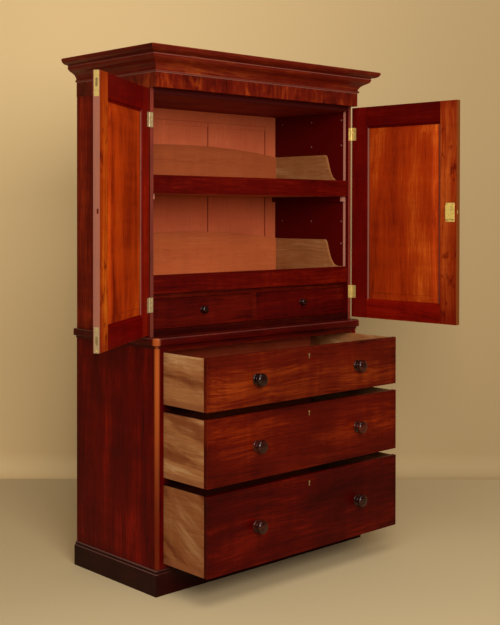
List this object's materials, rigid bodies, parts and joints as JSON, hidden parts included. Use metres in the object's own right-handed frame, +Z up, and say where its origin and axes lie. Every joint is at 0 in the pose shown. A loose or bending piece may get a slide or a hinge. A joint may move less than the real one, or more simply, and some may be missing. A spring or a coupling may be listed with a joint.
{
  "type": "linen press",
  "caption": "Tall mahogany linen press: moulded cornice, two panelled doors over sliding trays and small drawers, long drawers below, plinth.",
  "frame": {"origin": "on the floor, under the middle of the plinth", "axes": "+Z up, -Y to the front where the doors and drawers open, +X to the right seen from the front"},
  "size_m": [1.6933, 1.0701, 2.1],
  "materials": {
    "mahogany": "polished, deep red-brown",
    "tray_wood": "thin satin finish, pinkish brown",
    "drawer_wood": "unpolished, pale tan",
    "knob_wood": "polished, nearly black",
    "brass": "old satin brass"
  },
  "bodies": {
    "carcase": {"plinth_frame": "mahogany", "plinth_back_frame": "drawer_wood", "base_side_left": "mahogany", "base_side_right": "mahogany", "base_back": "drawer_wood", "base_bottom": "drawer_wood", "base_top": "mahogany", "drawer_divider_lower": "mahogany", "drawer_divider_upper": "mahogany", "waist_moulding": "mahogany", "upper_side_left": "mahogany", "upper_side_right": "mahogany", "upper_bottom": "mahogany", "upper_top": "mahogany", "upper_back": "tray_wood", "drawer_shelf": "mahogany", "cornice_front": "mahogany", "cornice_left": "mahogany", "cornice_right": "mahogany", "cornice_back_rail": "drawer_wood", "hinge_left_lower_case_leaf": "brass", "hinge_left_upper_case_leaf": "brass", "hinge_right_lower_case_leaf": "brass", "hinge_right_upper_case_leaf": "brass"},
    "left_door": {"left_door_frame": "mahogany", "left_door_panel": "mahogany", "flush_bolt_plate_top": "brass", "flush_bolt_plate_bottom": "brass", "hinge_left_lower_door_leaf": "brass", "hinge_left_upper_door_leaf": "brass"},
    "flush_bolt_top": {"flush_bolt_slide_top": "brass"},
    "flush_bolt_bottom": {"flush_bolt_slide_bottom": "brass"},
    "right_door": {"right_door_frame": "mahogany", "right_door_panel": "mahogany", "lock_case": "brass", "hinge_right_lower_door_leaf": "brass", "hinge_right_upper_door_leaf": "brass"},
    "lock_tongue": {"lock_bolt": "brass"},
    "upper_tray": {"upper_tray_front": "mahogany", "upper_tray_body": "tray_wood"},
    "lower_tray": {"lower_tray_front": "mahogany", "lower_tray_body": "tray_wood"},
    "small_drawer_left": {"small_drawer_left_front": "mahogany", "small_drawer_left_box": "drawer_wood", "small_drawer_left_knob": "knob_wood"},
    "small_drawer_right": {"small_drawer_right_front": "mahogany", "small_drawer_right_box": "drawer_wood", "small_drawer_right_knob": "knob_wood"},
    "long_drawer_top": {"long_drawer_top_front": "mahogany", "long_drawer_top_box": "drawer_wood", "long_drawer_top_knob_left": "knob_wood", "long_drawer_top_knob_right": "knob_wood"},
    "long_drawer_middle": {"long_drawer_middle_front": "mahogany", "long_drawer_middle_box": "drawer_wood", "long_drawer_middle_knob_left": "knob_wood", "long_drawer_middle_knob_right": "knob_wood"},
    "long_drawer_bottom": {"long_drawer_bottom_front": "mahogany", "long_drawer_bottom_box": "drawer_wood", "long_drawer_bottom_knob_left": "knob_wood", "long_drawer_bottom_knob_right": "knob_wood"}
  },
  "joints": [
    {"name": "left_door_hinge", "type": "hinge", "parent": "carcase", "child": "left_door", "pos_m": [-0.5725, -0.2225, 1.4705], "axis": [0, 0, -1], "range_deg": [-144, 36]},
    {"name": "right_door_hinge", "type": "hinge", "parent": "carcase", "child": "right_door", "pos_m": [0.5725, -0.2225, 1.4705], "axis": [0, 0, 1], "range_deg": [-92.6, 87.4]},
    {"name": "flush_bolt_top_slide", "type": "slide", "parent": "left_door", "child": "flush_bolt_top", "axis": [0, 0, 1], "range_m": [0, 0.0154]},
    {"name": "flush_bolt_bottom_slide", "type": "slide", "parent": "left_door", "child": "flush_bolt_bottom", "axis": [0, 0, -1], "range_m": [0, 0.0154]},
    {"name": "lock_bolt_slide", "type": "slide", "parent": "right_door", "child": "lock_tongue", "axis": [0.0454, -0.999, 0], "range_m": [0, 0.008]},
    {"name": "upper_tray_slide", "type": "slide", "parent": "carcase", "child": "upper_tray", "axis": [0, -1, 0], "range_m": [0, 0.33]},
    {"name": "lower_tray_slide", "type": "slide", "parent": "carcase", "child": "lower_tray", "axis": [0, -1, 0], "range_m": [0, 0.33]},
    {"name": "small_drawer_left_slide", "type": "slide", "parent": "carcase", "child": "small_drawer_left", "axis": [0, -1, 0], "range_m": [0, 0.3]},
    {"name": "small_drawer_right_slide", "type": "slide", "parent": "carcase", "child": "small_drawer_right", "axis": [0, -1, 0], "range_m": [0, 0.3]},
    {"name": "long_drawer_top_slide", "type": "slide", "parent": "carcase", "child": "long_drawer_top", "axis": [0, -1, 0], "range_m": [-0.256, 0.14]},
    {"name": "long_drawer_middle_slide", "type": "slide", "parent": "carcase", "child": "long_drawer_middle", "axis": [0, -1, 0], "range_m": [-0.257, 0.14]},
    {"name": "long_drawer_bottom_slide", "type": "slide", "parent": "carcase", "child": "long_drawer_bottom", "axis": [0, -1, 0], "range_m": [-0.258, 0.14]}
  ]
}
